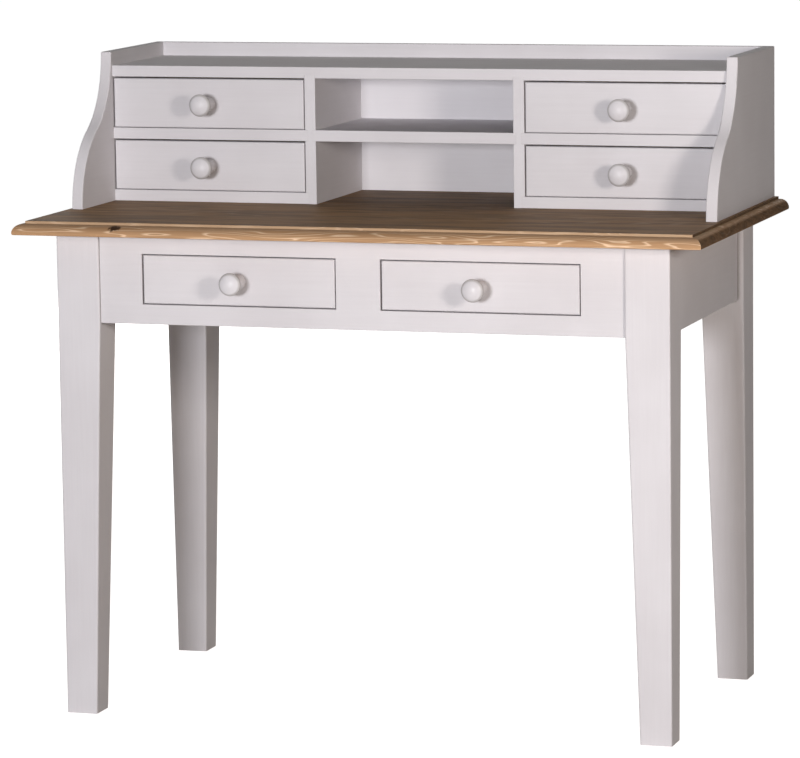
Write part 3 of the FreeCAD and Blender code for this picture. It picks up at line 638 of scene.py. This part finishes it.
def make_screws(node, inward, finish):
    """Screws with real heads in place of a node's plain ones, each turned as it happened to stop."""
    inward = Vector(inward)
    along_inward = inward.to_track_quat("Z", "Y").to_matrix().to_4x4()
    shape = bmesh.new()
    for number, group in enumerate(screw_groups(node, inward)):
        flats = [flat for flat, _ in group]
        depths = [depth for _, depth in group]
        low = Vector([min(flat[axis] for flat in flats) for axis in range(3)])
        high = Vector([max(flat[axis] for flat in flats) for axis in range(3)])
        place = Matrix.Translation((low + high) / 2 + inward * min(depths))
        turn = along_inward @ Matrix.Rotation(number * SCREW_TURN, 4, "Z")
        add_screw(shape, place @ turn, max(high - low) / 2, max(depths) - min(depths))
    bmesh.ops.recalc_face_normals(shape, faces=shape.faces)
    mesh = bpy.data.meshes.new(f"{node}_turned")
    shape.to_mesh(mesh)
    shape.free()
    mesh.shade_smooth()
    mesh.set_sharp_from_angle(angle=SHARP_ANGLE)
    mesh.materials.append(finish)
    piece = bpy.data.objects.new(f"{node}_turned", mesh)
    bpy.context.scene.collection.objects.link(piece)
    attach(piece, "desk")
    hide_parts(node)


def grain_of(node):
    """The way the grain runs: the longest side of the piece's box."""
    low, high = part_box(node)
    extent = high - low
    return "XYZ"[max(range(3), key=lambda axis: extent[axis])]


def dress_nodes():
    """Give every CAD node the finish of its slot, with the grain along its length."""
    paints = {axis: painted(f"paint_{axis.lower()}", axis) for axis in "XYZ"}
    knob_paint = painted("paint_turned", "Y", KNOB_ROUGHNESS, KNOB_SPECULAR, rim=True)
    leg_paint = painted("paint_leg", "Z", seam_shade=True)
    pines = {axis: bare_pine(f"pine_{axis.lower()}", axis) for axis in "XYZ"}
    top = stained_top()
    steel = zinc()
    make_screws("hutch_screws", UPWARDS, steel)
    make_screws("back_panel_screws", FORWARDS, steel)
    slots = {row["node"]: row["material_slot"] for row in frame["record"]["subparts"]}
    for name, node in frame["nodes"].items():
        grain = grain_of(name)
        finishes = {"paint": paints[grain], "bare_pine": pines[grain], "stained_top": top, "steel": steel}
        finish = finishes[slots[name]]
        if name.endswith("_knob"):
            finish = knob_paint
        elif name.startswith("leg_"):
            finish = leg_paint
        node.data.materials.clear()
        node.data.materials.append(finish)


def backdrop_ray(tree):
    """One for rays that show the background itself: camera, glossy and transmission."""
    path = tree.nodes.new("ShaderNodeLightPath")
    total = path.outputs["Is Camera Ray"]
    for name in ("Is Glossy Ray", "Is Transmission Ray"):
        either = tree.nodes.new("ShaderNodeMath")
        either.operation = "MAXIMUM"
        tree.links.new(total, either.inputs[0])
        tree.links.new(path.outputs[name], either.inputs[1])
        total = either.outputs[0]
    return total


def make_floor():
    """Pale studio floor that keeps the shadow near the desk and runs out into the white backdrop."""
    signs = ((-1, -1), (1, -1), (1, 1), (-1, 1))
    corners = [(right * FLOOR_REACH, back * FLOOR_REACH, 0.0) for right, back in signs]
    mesh = bpy.data.meshes.new("studio_floor")
    mesh.from_pydata(corners, [], [range(len(corners))])
    floor = bpy.data.objects.new("studio_floor", mesh)
    bpy.context.scene.collection.objects.link(floor)
    graph = Graph("studio_floor")
    matt = graph.add("ShaderNodeBsdfDiffuse", {"Color": FLOOR_COLOUR})
    from_desk = graph.length(graph.vector(*graph.place()))
    lift = graph.step(from_desk, *FLOOR_FADE, *FLOOR_LIFT)
    strength = graph.times(backdrop_ray(graph.tree), lift)
    glow = graph.add("ShaderNodeEmission", {"Color": WHITE, "Strength": strength})
    both = graph.add("ShaderNodeAddShader", {0: matt.outputs[0], 1: glow.outputs[0]})
    graph.add("ShaderNodeOutputMaterial", {"Surface": both.outputs[0]})
    mesh.materials.append(graph.material)


def make_world():
    """White where it is seen, weak grey light where it only lights."""
    world = bpy.data.worlds.new("studio")
    bpy.context.scene.world = world
    world.use_nodes = True
    tree = world.node_tree
    tree.nodes.clear()
    seen = tree.nodes.new("ShaderNodeBackground")
    lights = tree.nodes.new("ShaderNodeBackground")
    lights.inputs["Strength"].default_value = AMBIENT
    for background in (seen, lights):
        background.inputs["Color"].default_value = (*WHITE, 1.0)
    mixed = tree.nodes.new("ShaderNodeMixShader")
    tree.links.new(backdrop_ray(tree), mixed.inputs[0])
    tree.links.new(lights.outputs[0], mixed.inputs[1])
    tree.links.new(seen.outputs[0], mixed.inputs[2])
    output = tree.nodes.new("ShaderNodeOutputWorld")
    tree.links.new(mixed.outputs[0], output.inputs["Surface"])


def make_lights():
    """A wide box in front, a small one on the right for the knobs' shadows, one behind, one above."""
    for name, box in LIGHTS.items():
        light = bpy.data.lights.new(name, "AREA")
        light.color = box.colour
        light.shape = "RECTANGLE"
        light.size = box.width
        light.size_y = box.height
        light.energy = box.power
        lamp = bpy.data.objects.new(name, light)
        lamp.location = box.place
        aim = Vector(box.target) - Vector(box.place)
        lamp.rotation_euler = aim.to_track_quat("-Z", "Y").to_euler()
        bpy.context.scene.collection.objects.link(lamp)


def make_camera():
    """The photograph's camera: level and facing the back, then pitched, rolled and turned."""
    data = bpy.data.cameras.new("photo_camera")
    data.sensor_width = SENSOR_WIDTH
    data.lens = FOCAL_PIXELS * SENSOR_WIDTH / IMAGE_WIDTH
    camera = bpy.data.objects.new("photo_camera", data)
    yaw = Matrix.Rotation(CAMERA_YAW, 4, "Z")
    pitch = Matrix.Rotation(math.pi / 2 + CAMERA_PITCH, 4, "X")
    roll = Matrix.Rotation(CAMERA_ROLL, 4, "Z")
    camera.matrix_world = Matrix.Translation(CAMERA_PLACE) @ yaw @ pitch @ roll
    bpy.context.scene.collection.objects.link(camera)
    bpy.context.scene.camera = camera


dress_nodes()
make_floor()
make_world()
make_lights()
make_camera()
bpy.context.scene.view_settings.view_transform = "Standard"
